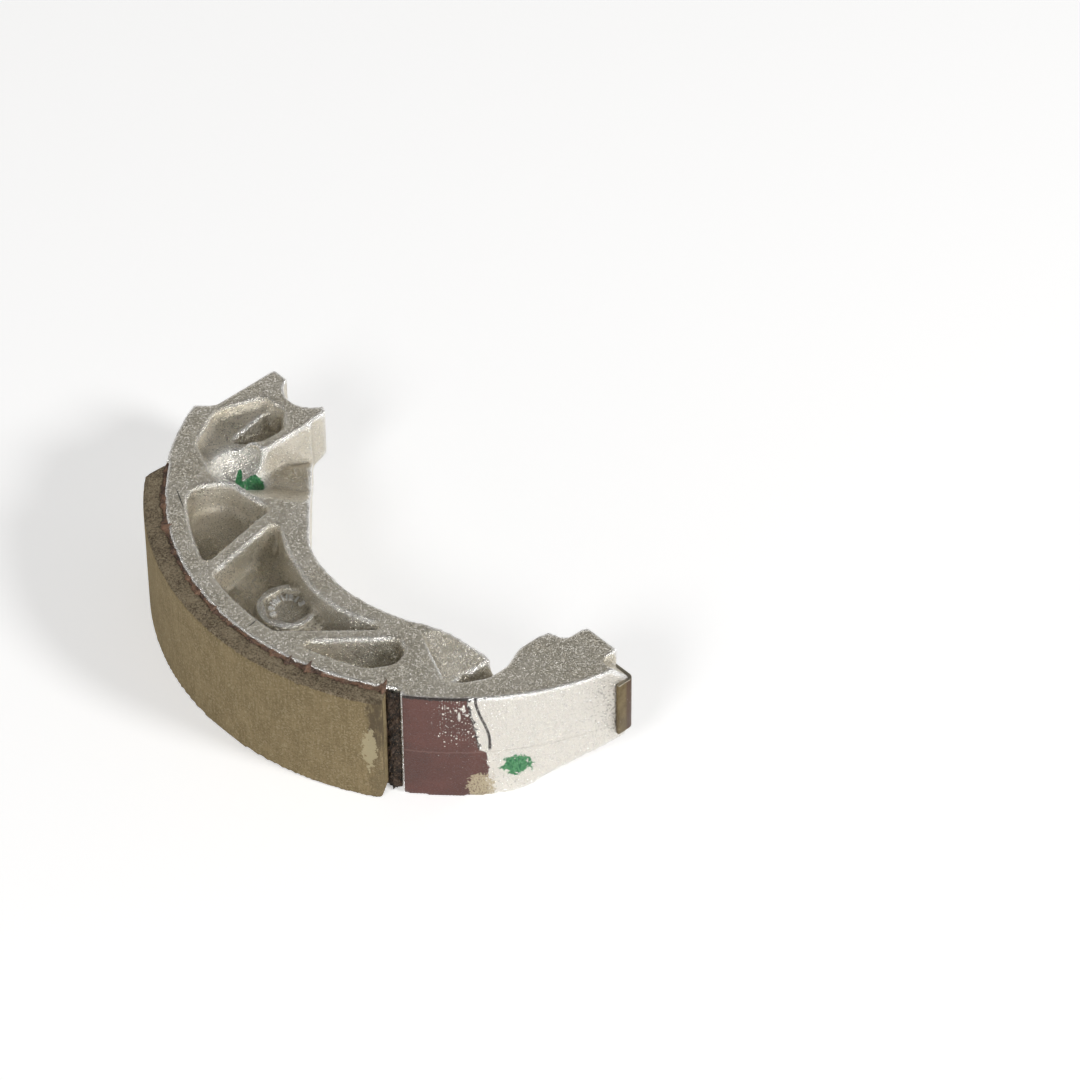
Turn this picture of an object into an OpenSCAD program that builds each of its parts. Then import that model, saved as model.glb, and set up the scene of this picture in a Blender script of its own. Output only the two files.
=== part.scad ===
// Brake shoe of a small drum brake: a die-cast aluminium shoe with a bonded lining
// and a folded steel wear clip on its cam end.
// The origin is on the drum axis, level with the shoe's lower side. +Z is the drum axis,
// +Y points at the anchor pin, and the lining faces -X.

/* [Drum and lining] */
// Inside diameter of the drum
drum_d = 130; // [128:0.5:133]
// Thickness of the lining
lining_t = 4.2; // [3:0.1:4.6]
// Width of the lining along the drum axis
lining_w = 26.4; // [24:0.2:26.8]
// Angle at which the lining starts, on the anchor side
lining_from = 130; // [126:1:140]
// Angle at which the lining ends, on the cam side
lining_to = 214; // [205:1:214]
// Thickness of the adhesive film under the lining
glue_t = 0.25; // [0.1:0.05:0.5]
// Gap between the end of the lining and the bare rim
groove_w = 3; // [1:0.5:4]

/* [Rim and web] */
// Width of the casting along the drum axis
shoe_w = 27; // [27:0.5:30]
// Thickness of the rim behind the lining
rim_t = 4.2; // [3.4:0.1:5]
// Height of the bare rim above the lining's seat, on the cam side
bare_step = 1.95; // [1:0.05:2.5]
// Height of the bare rim above the lining's seat, on the anchor side
anchor_step = 0.65; // [0.3:0.05:1.5]
// Thickness of the web between the pockets of both sides
web_t = 3.5; // [2.5:0.25:5]
// Depth of the pockets in the top side
pocket_depth = 6.6; // [5:0.2:7]
// Width of the inner flange
flange_w = 4.4; // [3.6:0.2:5.2]
// Height of the inner flange along the drum axis
flange_h = 11.8; // [11:0.2:13]
// Depth that the walls of a pocket lean inward, for each millimetre of depth
draft = 0.08; // [0.02:0.01:0.12]
// Radius between a pocket's wall and its floor
floor_round = 1.2; // [0.6:0.1:1.6]
// Radius of the rounded edge where a pocket meets the face
edge_round = 0.8; // [0.3:0.1:1]

/* [Anchor end] */
// Diameter of the anchor pin that the forked end seats on
pin_d = 12; // [11:0.25:13]
// Distance from the drum axis to the middle of the anchor pin
pin_y = 43.4; // [42.5:0.1:44.5]
// Distance from the shoe's own side to the middle of the anchor pin
pin_x = -2.6; // [-3:0.1:-2]
// Height of the anchor end along the drum axis
anchor_h = 15.5; // [14:0.25:17]

/* [Cam end] */
// Distance of the cam face from the plane through the drum axis
cam_x = 9.5; // [9:0.1:10.5]
// Height of the cam end along the drum axis
cam_h = 17.2; // [16:0.2:18.5]
// Thickness of the steel of the wear clip
clip_t = 0.9; // [0.6:0.1:1.2]
// Height of the wear clip along the drum axis
clip_h = 13.4; // [11:0.2:14]
// Length of the clip's inner leg
clip_inner_leg = 3; // [2:0.25:4]
// Length of the clip's outer leg
clip_outer_leg = 4.2; // [3:0.2:4.4]
// Play between the clip and the casting
clip_play = 0.05; // [0.02:0.01:0.1]

/* [Springs and boss] */
// Diameter of the spring hook holes
hook_d = 4.8; // [4:0.2:5.4]
// Diameter of the round boss in the middle pocket
boss_d = 12.6; // [10:0.2:13]
// Width of the low step round the boss
boss_step = 1.6; // [1:0.1:2]
// Height of the boss above the pocket's floor
boss_h = 2.2; // [1.5:0.1:3]
// Width across the flats of the boss's six-sided recess
boss_hex = 8.9; // [7:0.1:9.5]

/* [Hidden] */

$fn = 120;
over = 1;
proud = 0.2;
least_r = 0.12;
arc_step = 20;
hex_sides = 6;

// Radii about the drum axis
lining_r = drum_d / 2;
glue_r = lining_r - lining_t;
seat_r = glue_r - glue_t;
bare_r = seat_r + bare_step;
anchor_r = seat_r + anchor_step;
rim_in = seat_r - rim_t;
outside = lining_r + 8;

// Heights
floor_z = shoe_w - pocket_depth;
under_z = floor_z - web_t;
flange_z = shoe_w - flange_h;
anchor_z = shoe_w - anchor_h;
cam_z = shoe_w - cam_h;
clip_z = cam_z - 0.3;
clip_top = clip_z + clip_h;

// Angles about the drum axis
groove_end = lining_to + groove_w / seat_r * 180 / PI;
rim_from = 113;

// The anchor end: a fork with an outer prong and an inner prong on both sides of the pin
prong_out_y = pin_y + 10;
prong_in_y = pin_y - 7.6;
prong_x = pin_x - 2.4;

// The cam end
cam_inner_y = -48.1;
cam_outer_y = -61;
tongue_y = -57;
tongue_x = -cam_x + 0.1;

// Spring hook holes
anchor_hook = [-27.6, 33.7];
cam_hook = [-34.8, -41.4];
boss_at = [-46.3, 0.8];

// Inner edge of the flange from the anchor end to the cam end, as [x, y, corner radius]
edge_start = [-9.5, prong_in_y, 0.5];
edge_upper = [-34.6, 7.4, 12];
edge_middle = [-39.3, -7, 37];
edge_lower = [-34.3, -22.4, 12];
edge_bend = [-29.9, -30, 15];
edge_notch = [-27.4, -38.6, 4];

function polar(r, a) = [r * cos(a), r * sin(a)];
function corner(p, r) = [p.x, p.y, r];
function heading(p, q) = let (d = [q.x - p.x, q.y - p.y]) d / norm(d);
function left_of(v) = [-v.y, v.x];
function turned(v, a) = [v.x * cos(a) - v.y * sin(a), v.x * sin(a) + v.y * cos(a)];

// One corner that stands for a stretch of a circle about the drum axis
function rim_corner(r, from, to) =
    corner(polar(r / cos((to - from) / 2), (from + to) / 2), r);

// The side of a pocket that follows the rim: an arc with a rounded corner at each end
function rim_side(from, to, lead_in, lead_out, r_in, r_out) = [
    corner(polar(rim_in, from) + lead_in * [sin(from), -cos(from)], r_in),
    rim_corner(rim_in, from, to),
    corner(polar(rim_in, to) + lead_out * [-sin(to), cos(to)], r_out)
];

// Where a corner lands when both of its sides move inward by the same distance
function inset_corner(before, here, after, inset) =
    let (u = heading(before, here), v = heading(here, after))
    [here.x, here.y] + inset * (left_of(u) + left_of(v)) / (1 + u * v);

// The arc that rounds one corner of a counter-clockwise outline
function corner_arc(before, here, after, inset) =
    let (
        u = heading(before, here),
        v = heading(here, after),
        side = sign(cross(u, v)),
        angle = acos(u * v),
        r = max(here.z - side * inset, least_r),
        steps = max(ceil(angle / arc_step), ceil(angle * here.z / 180)),
        start = inset_corner(before, here, after, inset) - u * r * tan(angle / 2),
        centre = start + side * r * left_of(u)
    )
    [for (i = [0:steps]) centre + turned(start - centre, side * angle * i / steps)];

// Points of a closed counter-clockwise outline of [x, y, corner radius] corners
function outline(corners, inset = 0) =
    let (n = len(corners))
    [for (i = [0:n - 1])
        each corner_arc(corners[(i + n - 1) % n], corners[i], corners[(i + 1) % n], inset)];

// Middle of a ring of points
function middle(ring) = [for (p = ring) 1] * ring / len(ring);

// Solid through level rings of the same number of points, lowest ring first. Each end is closed
// with triangles round a hub, from where the whole ring can be seen.
module loft(rings, hub) {
    n = len(rings[0]);
    last = len(rings) - 1;
    top = last * n;
    low_hub = top + n;
    high_hub = low_hub + 1;
    hubs = [for (ring = [rings[0], rings[last]])
        is_undef(hub) ? middle(ring) : [hub.x, hub.y, ring[0].z]];
    polyhedron(
        points = [for (ring = rings) each ring, each hubs],
        faces = [
            for (i = [0:n - 1]) [i, (i + 1) % n, low_hub],
            for (i = [0:n - 1]) [top + (i + 1) % n, top + i, high_hub],
            for (k = [0:last - 1], i = [0:n - 1])
                let (low = k * n, high = low + n, j = (i + 1) % n)
                [low + i, high + i, high + j, low + j]
        ]
    );
}

// Cutter for a cast pocket, with a rounded edge, draft on its walls and a round at its floor.
// A crescent needs a hub that sees both of its tips.
module pocket(corners, rim, floor, round = floor_round, hub = undef) {
    down = sign(rim - floor);
    wall = abs(rim - floor) - round;
    profile = [
        [-edge_round / 2, proud],
        for (a = [0, 30, 60, 90])
            [edge_round * (sin(a) - 0.5), edge_round * (cos(a) - 1)],
        for (a = [0, 30, 60, 90])
            [edge_round / 2 + draft * wall + round * (1 - cos(a)), -wall - round * sin(a)]
    ];
    rings = [for (step = profile)
        [for (p = outline(corners, step[0])) [p.x, p.y, rim + down * step[1]]]];
    loft(down > 0 ? [for (i = [len(rings) - 1:-1:0]) rings[i]] : rings, hub);
}

// Block outside a plane edge, for cuts: everything from z0 to z1 inside an outline
module prism(points, z0, z1) {
    translate([0, 0, z0]) linear_extrude(z1 - z0) polygon(points);
}

// Ring sector about the drum axis
module sector(r0, r1, z0, z1, from, to) {
    rotate([0, 0, from])
        rotate_extrude(angle = to - from)
            translate([r0, z0]) square([r1 - r0, z1 - z0]);
}

// Plan outline of the casting, left square outside the rim
module casting_block() {
    corners = [
        [-27.6, prong_out_y + 6, 0.5],
        [-outside, prong_out_y + 6, 0.5],
        [-outside, -outside, 0.5],
        [tongue_x, -outside, 0.5],
        [tongue_x, cam_inner_y, 0.9],
        [-14.9, cam_inner_y + 0.4, 1.5],
        [-16.2, -43.7, 1.2],
        [-24.6, -43.2, 3],
        [-28.4, -45.4, 2],
        edge_notch,
        edge_bend,
        edge_lower,
        edge_middle,
        edge_upper,
        edge_start,
        [prong_x + 0.1, prong_in_y, 1.5],
        [prong_x + 0.4, prong_out_y, 1.2],
        [-21, prong_out_y - 0.2, 2.5],
        [-23.6, prong_out_y + 2.3, 1.5]
    ];
    intersection() {
        linear_extrude(shoe_w) polygon(outline(corners));
        cylinder(r = bare_r, h = shoe_w);
    }
}

// The machined seat of the lining, and the lower rim beside the anchor end
module rim_steps() {
    sector(seat_r, outside, -over, shoe_w + over, lining_from, groove_end);
    sector(anchor_r, outside, -over, shoe_w + over, rim_from - 25, lining_from);
}

// The lower side falls away from the rim to the flange like a shallow cone
module dished_underside() {
    slope_w = 10;
    rotate([0, 0, 114])
        rotate_extrude(angle = 118)
            polygon([
                [0, -over], [rim_in + over, -over], [rim_in, 0],
                [rim_in - slope_w, flange_z], [0, flange_z]
            ]);
}

// The lower side of the anchor end: level under the fork, with a slope up from the rim
module anchor_underside() {
    rotate([90, 0, 0]) translate([0, 0, -outside])
        linear_extrude(outside - 30)
            polygon([
                [-29, -over], [-29, 0], [-20, anchor_z], [over, anchor_z], [over, -over]
            ]);
    // The inner prong is thinned towards its tip
    rotate([90, 0, 0]) translate([0, 0, -prong_in_y - 5])
        linear_extrude(12)
            polygon([[-12, -over], [-10.5, anchor_z + 1.8], [over, anchor_z + 5.4], [over, -over]]);
}

// The lower side of the cam end: a stepped slope along the rim, then the level lobe
module cam_underside() {
    rotate([90, 0, 0]) translate([0, 0, 40])
        linear_extrude(outside - 40)
            polygon([
                [-33.5, -over], [-33.5, 0], [-30, 1.6], [-28, 3.2], [-21, 5.7], [-14, 7.2],
                [0, 7.2], [0, -over]
            ]);
    sector(0, rim_in, -over, cam_z, 231, 275);
}

// Pockets in the top side, from the anchor end to the cam end
module top_pockets() {
    fork_terrace = [
        [-11.6, 48.3, 2], each rim_side(118, 121, 5, 3, 5, 3.5), [-34.2, 40, 1.5], [-29, 39, 1.5],
        [-24.6, 40.5, 4], [-20.6, 37.9, 2], [-15, 37.8, 2], [-11.2, 42.2, 2]
    ];
    fork_well = [
        [-12.2, 46.8, 2], [-25.4, 44.4, 1.2], [-20.6, 38.1, 2], [-15, 38, 2], [-11.4, 42.4, 2]
    ];
    upper = [
        [-32.9, 21.2, 1.5], [-34.4, 33.6, 6], each rim_side(142.5, 155, 4.8, 7, 5, 1.5)
    ];
    middle = [
        [-33.6, 18.3, 1.6], each rim_side(168, 184, 3, 2.5, 1.8, 2.5), [-37.8, -22.7, 1],
        corner(inset_corner(edge_lower, edge_middle, edge_upper, flange_w), edge_middle.z - 12),
        corner(inset_corner(edge_middle, edge_upper, edge_start, flange_w), edge_upper.z)
    ];
    lower = [
        each rim_side(199, 205, 8.4, 3.5, 1.3, 4), [-44.2, -30.4, 4], [-40.2, -28.6, 2.4], [-39, -24.8, 2]
    ];
    pocket(fork_terrace, shoe_w, shoe_w - 2.2, 1.1);
    pocket(fork_well, shoe_w, shoe_w - 5.2);
    pocket(upper, shoe_w, floor_z, 1.8);
    pocket(middle, shoe_w, floor_z, 0.9, [-49.5, -0.5]);
    pocket(lower, shoe_w, floor_z);
}

// Pockets in the lower side, between the same ribs
module underside_pockets() {
    upper = [[-36.6, 19.6, 2], each rim_side(149, 156, 7, 6, 2.5, 1.5)];
    middle = [
        [-39.6, 13.6, 2], each rim_side(169, 186, 4.5, 3.5, 2, 2), [-39, -22.4, 1.5], [-43.6, -8, 12]
    ];
    lower = [
        [-47.4, -19.4, 2], each rim_side(204.5, 206, 5.5, 4, 1.2, 4), [-45.2, -31.6, 4], [-37.8, -27, 2.5]
    ];
    anchor_hollow = [
        [-21.6, 30, 2], [-21.6, 38.6, 3], [-30, 45.6, 5], [-39.4, 38.6, 3], [-35, 25.6, 3], [-29, 24, 3]
    ];
    cam_hollow = [
        [-29.8, -38.4, 2], [-37.4, -31.6, 4], [-47, -32.6, 3], [-42.6, -39, 8], [-36, -46.4, 3], [-30, -45.4, 2]
    ];
    fork_well = [[-12.2, 43, 1.5], [-13, 48.6, 2], [-20.6, 49.6, 4], [-23, 42.6, 1.5]];
    pocket(upper, 0, under_z, 1.2);
    pocket(middle, 0, under_z, 1.2, [-51, -1]);
    pocket(lower, 0, under_z, 0.8);
    pocket(anchor_hollow, 0, under_z, 3);
    pocket(cam_hollow, 0, under_z, 2);
    pocket(fork_well, anchor_z, under_z - 0.6, 1);
}

// The recess for the anchor-side spring: a bowl and a ramp down to the hook hole, open to the
// inner edge
module anchor_spring_recess() {
    plan = [
        [-24.2, prong_in_y, 3], [-30.6, 37.4, 2], [-33.4, 32, 3],
        [-32.6, 25.2, 5], [-25.4, 15.4, 1], [-2, 10, 1], [-2, prong_in_y, 0.4]
    ];
    bowl_at = [-28.9, 36.6];
    bowl_r = pocket_depth - 0.4;
    ramp_turn = 39;
    ramp_top = [-32, 24.6, shoe_w];
    run = [
        [-2, over + 1], [0, 0], [9.5, -bowl_r], [16.6, -bowl_r],
        [25, -11.4], [40, -14.5], [40, 2]
    ];
    intersection() {
        pocket(plan, shoe_w, anchor_z, 0.6);
        translate(ramp_top) rotate([0, 0, ramp_turn]) rotate([90, 0, 0])
            translate([0, 0, -50]) linear_extrude(100) polygon(run);
    }
    translate([bowl_at.x, bowl_at.y, shoe_w]) sphere(r = bowl_r);
}

// The notch for the cam-side spring, with the sloping facet above it
module cam_spring_notch() {
    mouth_y = -38.9;
    facet_fall = 14;
    notch = [
        [-20, mouth_y, 0.4], [-41, mouth_y, 1.2], [-38.6, -42.8, 4.5], [-33.5, -45.6, 4],
        [-28.4, -45.6, 0.6], [-20, -42, 0.4]
    ];
    pocket(notch, shoe_w, floor_z, 0.8);
    intersection() {
        prism([[-34.6, -26.4], [-40.4, mouth_y - 1.2], [-20, mouth_y - 1.2], [-20, -26.4]], floor_z, shoe_w + over);
        translate([0, -26.6, shoe_w]) rotate([facet_fall, 0, 0]) translate([-60, -30, 0]) cube([60, 40, 20]);
    }
}

// What the wear clip takes from the end of the casting, and the sloped corner over it
module cam_end_cuts() {
    back = -cam_x - clip_t - clip_play;
    side = cam_outer_y + clip_play;
    leg_end = -cam_x - clip_outer_leg - 0.3;
    inner_side = cam_inner_y - clip_play;
    inner_leg_end = -cam_x - clip_inner_leg - 0.3;
    room_top = clip_top + clip_play;
    corner_ease = 0.25;
    prism([
        [leg_end, -outside], [0, -outside], [0, -42], [inner_leg_end, -42], [inner_leg_end, inner_side],
        [back - corner_ease, inner_side], [back, inner_side - corner_ease], [back, side + corner_ease],
        [back - corner_ease, side], [leg_end, side]
    ], -over, room_top);
    rotate([90, 0, 0]) translate([0, 0, -tongue_y])
        linear_extrude(outside + tongue_y)
            polygon([
                [-14, shoe_w], [tongue_x - 0.9, room_top], [0, room_top], [0, shoe_w + over], [-14, shoe_w + over]
            ]);
}

// Round stepped boss with a six-sided recess on the floor of the middle pocket
module boss() {
    translate([boss_at.x, boss_at.y, floor_z - web_t / 2])
        difference() {
            union() {
                cylinder(d = boss_d, h = web_t / 2 + boss_h);
                cylinder(r = boss_d / 2 + boss_step, h = web_t / 2 + 0.6);
            }
            translate([0, 0, web_t / 2 + boss_h - 1.2])
                cylinder(d = boss_hex / cos(180 / hex_sides), h = 2, $fn = hex_sides);
        }
}

module shoe_casting() {
    color("#c4bfb6") union() {
        difference() {
            casting_block();
            rim_steps();
            dished_underside();
            anchor_underside();
            cam_underside();
            top_pockets();
            underside_pockets();
            anchor_spring_recess();
            cam_spring_notch();
            cam_end_cuts();
            translate([pin_x, pin_y, -over]) cylinder(d = pin_d, h = shoe_w + 2 * over);
            for (hook = [anchor_hook, cam_hook])
                translate([hook.x, hook.y, -over]) cylinder(d = hook_d, h = shoe_w + 2 * over);
        }
        boss();
    }
}

module friction_lining() {
    bevel = lining_t / lining_r * 180 / PI;
    color("#968a6c") difference() {
        sector(glue_r, lining_r, 0, lining_w, lining_from, lining_to);
        prism([polar(glue_r - 0.01, lining_from), polar(lining_r + over, lining_from + bevel * 1.2),
            polar(lining_r + over, lining_from - 3), polar(glue_r - 0.01, lining_from - 3)], -over, lining_w + over);
    }
}

module bond_adhesive() {
    color("#6b3325") sector(seat_r, glue_r, 0.3, lining_w - 0.3, lining_from, groove_end - 0.2);
}

module cam_wear_clip() {
    bend = clip_t + 0.4;
    inner_y = cam_inner_y + clip_t;
    outer_y = cam_outer_y - clip_t;
    back = -cam_x - clip_t;
    color("#75623f") translate([0, 0, clip_z]) linear_extrude(clip_h)
        polygon(outline([
            [-cam_x, outer_y, bend],
            [-cam_x, inner_y, bend],
            [-cam_x - clip_inner_leg, inner_y, 0.2],
            [-cam_x - clip_inner_leg, inner_y - clip_t, 0.2],
            [back, inner_y - clip_t, bend - clip_t],
            [back, outer_y + clip_t, bend - clip_t],
            [-cam_x - clip_outer_leg, outer_y + clip_t, 0.2],
            [-cam_x - clip_outer_leg, outer_y, 0.2]
        ]));
}

shoe_casting();
friction_lining();
bond_adhesive();
cam_wear_clip();
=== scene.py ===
import math

import bmesh
import bpy
import numpy as np
from mathutils import Matrix, Vector, noise


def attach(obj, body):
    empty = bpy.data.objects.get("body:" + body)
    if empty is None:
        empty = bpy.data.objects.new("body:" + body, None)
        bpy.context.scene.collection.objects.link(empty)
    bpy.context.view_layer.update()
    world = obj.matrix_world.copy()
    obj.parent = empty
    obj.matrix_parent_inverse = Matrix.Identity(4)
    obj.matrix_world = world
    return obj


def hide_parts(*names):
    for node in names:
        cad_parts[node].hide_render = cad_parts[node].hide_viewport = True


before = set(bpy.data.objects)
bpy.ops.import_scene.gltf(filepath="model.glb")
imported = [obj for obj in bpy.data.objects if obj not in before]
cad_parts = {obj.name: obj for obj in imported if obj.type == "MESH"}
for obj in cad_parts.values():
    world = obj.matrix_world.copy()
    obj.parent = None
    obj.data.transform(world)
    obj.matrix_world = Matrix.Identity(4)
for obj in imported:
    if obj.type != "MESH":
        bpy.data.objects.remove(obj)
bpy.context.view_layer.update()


# Floor, light and camera
# The shoe lies on a plain white table with its lower side down. Most of the light comes from the
# pale walls round it. Two small lamps, to the right and left of the camera, make its skin sparkle.

floor_mesh = bmesh.new()
bmesh.ops.create_grid(floor_mesh, x_segments=1, y_segments=1, size=3.0)
table = bpy.data.objects.new("table_top", bpy.data.meshes.new("table_top"))
floor_mesh.to_mesh(table.data)
floor_mesh.free()
bpy.context.scene.collection.objects.link(table)


def node_tree(name):
    """A new material, with its nodes, its links and its Principled BSDF."""
    material = bpy.data.materials.new(name)
    material.use_nodes = True
    nodes = material.node_tree.nodes
    return material, nodes, material.node_tree.links, nodes["Principled BSDF"]


table_paint, nodes, links, shader = node_tree("white_table")
shader.inputs["Base Color"].default_value = (0.86, 0.86, 0.86, 1)
shader.inputs["Roughness"].default_value = 0.9

# It glows a little for the camera and in reflections, so that it looks as white as the photograph
table_glow = 0.42
path = nodes.new("ShaderNodeLightPath")
seen = nodes.new("ShaderNodeMath")
seen.operation = "MAXIMUM"
links.new(path.outputs["Is Camera Ray"], seen.inputs[0])
links.new(path.outputs["Is Glossy Ray"], seen.inputs[1])
glow = nodes.new("ShaderNodeMath")
glow.operation = "MULTIPLY"
glow.inputs[1].default_value = table_glow
links.new(seen.outputs[0], glow.inputs[0])
links.new(glow.outputs[0], shader.inputs["Emission Strength"])
shader.inputs["Emission Color"].default_value = (1, 1, 1, 1)
table.data.materials.append(table_paint)

# The white walls of the room are bright low down and dimmer overhead
room = bpy.data.worlds.new("room")
bpy.context.scene.world = room
room.use_nodes = True
walls = room.node_tree.nodes
height_up = walls.new("ShaderNodeSeparateXYZ")
room.node_tree.links.new(walls.new("ShaderNodeTexCoord").outputs["Generated"], height_up.inputs[0])
dimmer = walls.new("ShaderNodeMapRange")
dimmer.interpolation_type = "SMOOTHSTEP"
room.node_tree.links.new(height_up.outputs["Z"], dimmer.inputs["Value"])
for socket, value in (("From Min", 0.05), ("From Max", 0.5), ("To Min", 1.3), ("To Max", 0.14)):
    dimmer.inputs[socket].default_value = value
room.node_tree.links.new(dimmer.outputs["Result"], walls["Background"].inputs["Strength"])
walls["Background"].inputs["Color"].default_value = (1.0, 0.985, 0.96, 1)


def soft_lamp(name, place, aim, size, power):
    lamp = bpy.data.lights.new(name, "AREA")
    lamp.shape = "DISK"
    lamp.size = size
    lamp.energy = power
    holder = bpy.data.objects.new(name, lamp)
    holder.location = place
    holder.rotation_euler = (Vector(aim) - Vector(place)).to_track_quat("-Z", "Y").to_euler()
    bpy.context.scene.collection.objects.link(holder)


middle = (-0.035, 0.0, 0.01)
soft_lamp("front_lamp", (0.35, -1.15, 0.85), middle, 0.35, 11)
soft_lamp("side_lamp", (-1.15, -0.5, 0.9), middle, 0.45, 6)

# The camera stands where the photograph was taken from, and looks down by 43 degrees
camera = bpy.data.objects.new("camera", bpy.data.cameras.new("camera"))
camera.data.lens = 194.2
camera.data.sensor_width = 36
camera.data.clip_start = 0.05
camera.location = (-0.57716, -0.66197, 0.83081)
camera.rotation_euler = [math.radians(turn) for turn in (46.9802, 0.3967, -42.4993)]
bpy.context.scene.collection.objects.link(camera)
bpy.context.scene.camera = camera
bpy.context.scene.view_settings.view_transform = "Standard"


# Shoe casting
# One aluminium die casting with a sparkling, slightly rough skin. Its edges are soft, its upper
# face is lightly ground, and the rim is turned. It carries maroon primer beside the lining's end
# and dabs of green paint.

cast_voxel = 0.00049
cast_rounds = 2


def merged_copy(node, name):
    """A separate copy of a CAD node's mesh with its loose triangles joined."""
    shape = bmesh.new()
    shape.from_mesh(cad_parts[node].data)
    bmesh.ops.remove_doubles(shape, verts=shape.verts, dist=1e-6)
    piece = bpy.data.objects.new(name, bpy.data.meshes.new(name))
    shape.to_mesh(piece.data)
    shape.free()
    bpy.context.scene.collection.objects.link(piece)
    return piece


def apply_modifiers(piece):
    """Makes the piece's modifiers part of its mesh."""
    finished = bpy.data.meshes.new_from_object(piece.evaluated_get(bpy.context.evaluated_depsgraph_get()))
    piece.modifiers.clear()
    piece.data = finished


casting = merged_copy("shoe_casting", "casting")
skin = casting.modifiers.new("skin", "REMESH")
skin.mode = "VOXEL"
skin.voxel_size = cast_voxel
skin.use_smooth_shade = True
soft = casting.modifiers.new("soft_edges", "SMOOTH")
soft.factor = 0.5
soft.iterations = cast_rounds
apply_modifiers(casting)

# Hollows and edges of the skin, from how far each point stands off the average of its neighbours; the cast
# material turns this into grime and painted shade in the hollows and painted highlights on the edges
skin_mesh = casting.data
points = np.empty(len(skin_mesh.vertices) * 3)
normals = np.empty_like(points)
ends = np.empty(len(skin_mesh.edges) * 2, dtype=int)
skin_mesh.vertices.foreach_get("co", points)
skin_mesh.vertices.foreach_get("normal", normals)
skin_mesh.edges.foreach_get("vertices", ends)
points, normals, ends = points.reshape(-1, 3), normals.reshape(-1, 3), ends.reshape(-1, 2)
both_ways = np.concatenate([ends, ends[:, ::-1]])
neighbours = np.bincount(both_ways[:, 0], minlength=len(points))


def around(values):
    """The average of each point's neighbours."""
    return np.bincount(both_ways[:, 0], values[both_ways[:, 1]], len(points)) / neighbours


lean = sum((around(points[:, axis]) - points[:, axis]) * normals[:, axis] for axis in range(3)) / cast_voxel
for step in range(4):
    lean = 0.5 * lean + 0.5 * around(lean)
hollow = skin_mesh.attributes.new("hollow", "FLOAT", "POINT")
hollow.data.foreach_set("value", lean)


def linked(links, value, socket):
    """Puts a number, a colour or another node's output into a socket."""
    if isinstance(value, bpy.types.NodeSocket):
        links.new(value, socket)
    else:
        socket.default_value = value


class Bench:
    """Short ways to add nodes to one material or group."""

    def __init__(self, tree):
        self.nodes = tree.nodes
        self.links = tree.links

    def vectors(self, operation, first, second=None, scale=None):
        step = self.nodes.new("ShaderNodeVectorMath")
        step.operation = operation
        for value, socket in ((first, step.inputs[0]), (second, step.inputs[1]), (scale, step.inputs[3])):
            if value is not None:
                linked(self.links, value, socket)
        return step.outputs["Value" if operation == "DISTANCE" else "Vector"]

    def millimetres(self):
        return self.vectors("SCALE", self.nodes.new("ShaderNodeTexCoord").outputs["Object"], scale=1000)

    def cloud(self, place, scale, detail=3, roughness=0.55, distortion=0.0):
        texture = self.nodes.new("ShaderNodeTexNoise")
        self.links.new(place, texture.inputs["Vector"])
        settings = {"Scale": scale, "Detail": detail, "Roughness": roughness, "Distortion": distortion}
        for name, value in settings.items():
            texture.inputs[name].default_value = value
        return texture.outputs[0]

    def cells(self, place, scale, feature="F1", spread=1.0):
        texture = self.nodes.new("ShaderNodeTexVoronoi")
        texture.feature = feature
        self.links.new(place, texture.inputs["Vector"])
        texture.inputs["Scale"].default_value = scale
        texture.inputs["Randomness"].default_value = spread
        return texture

    def stretched(self, place, scale, turn=(0, 0, 0)):
        map_to = self.nodes.new("ShaderNodeMapping")
        map_to.inputs["Scale"].default_value = scale
        map_to.inputs["Rotation"].default_value = turn
        self.links.new(place, map_to.inputs["Vector"])
        return map_to.outputs[0]

    def sum_of(self, operation, first, second=0.0, third=0.0):
        step = self.nodes.new("ShaderNodeMath")
        step.operation = operation
        for socket, value in zip(step.inputs, (first, second, third)):
            linked(self.links, value, socket)
        return step.outputs[0]

    def times(self, first, second):
        return self.sum_of("MULTIPLY", first, second)

    def plus(self, first, second):
        return self.sum_of("ADD", first, second)

    def minus(self, first, second):
        return self.sum_of("SUBTRACT", first, second)

    def most(self, first, second):
        return self.sum_of("MAXIMUM", first, second)

    def apart(self, first, second):
        return self.sum_of("ABSOLUTE", self.minus(first, second))

    def swing(self, value, reach):
        """Turns noise round its middle value into a move of half the reach either way."""
        return self.times(self.minus(value, 0.5), reach)

    def between(self, value, low, high, first=0.0, last=1.0):
        step = self.nodes.new("ShaderNodeMapRange")
        step.interpolation_type = "SMOOTHSTEP"
        linked(self.links, value, step.inputs["Value"])
        for name, number in (("From Min", low), ("From Max", high), ("To Min", first), ("To Max", last)):
            linked(self.links, number, step.inputs[name])
        return step.outputs["Result"]

    def colours(self, mask, first, second, blend="MIX"):
        step = self.nodes.new("ShaderNodeMix")
        step.data_type = "RGBA"
        step.blend_type = blend
        linked(self.links, mask, step.inputs[0])
        linked(self.links, first, step.inputs[6])
        linked(self.links, second, step.inputs[7])
        return step.outputs[2]

    def split(self, vector):
        step = self.nodes.new("ShaderNodeSeparateXYZ")
        self.links.new(vector, step.inputs[0])
        return step.outputs["X"], step.outputs["Y"], step.outputs["Z"]

    def bump(self, height, distance, strength=1.0, normal=None):
        step = self.nodes.new("ShaderNodeBump")
        step.inputs["Strength"].default_value = strength
        step.inputs["Distance"].default_value = distance
        self.links.new(height, step.inputs["Height"])
        if normal:
            self.links.new(normal, step.inputs["Normal"])
        return step.outputs["Normal"]

    def group(self, tree, values):
        step = self.nodes.new("ShaderNodeGroup")
        step.node_tree = tree
        for name, value in values.items():
            linked(self.links, value, step.inputs[name])
        return step


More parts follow.
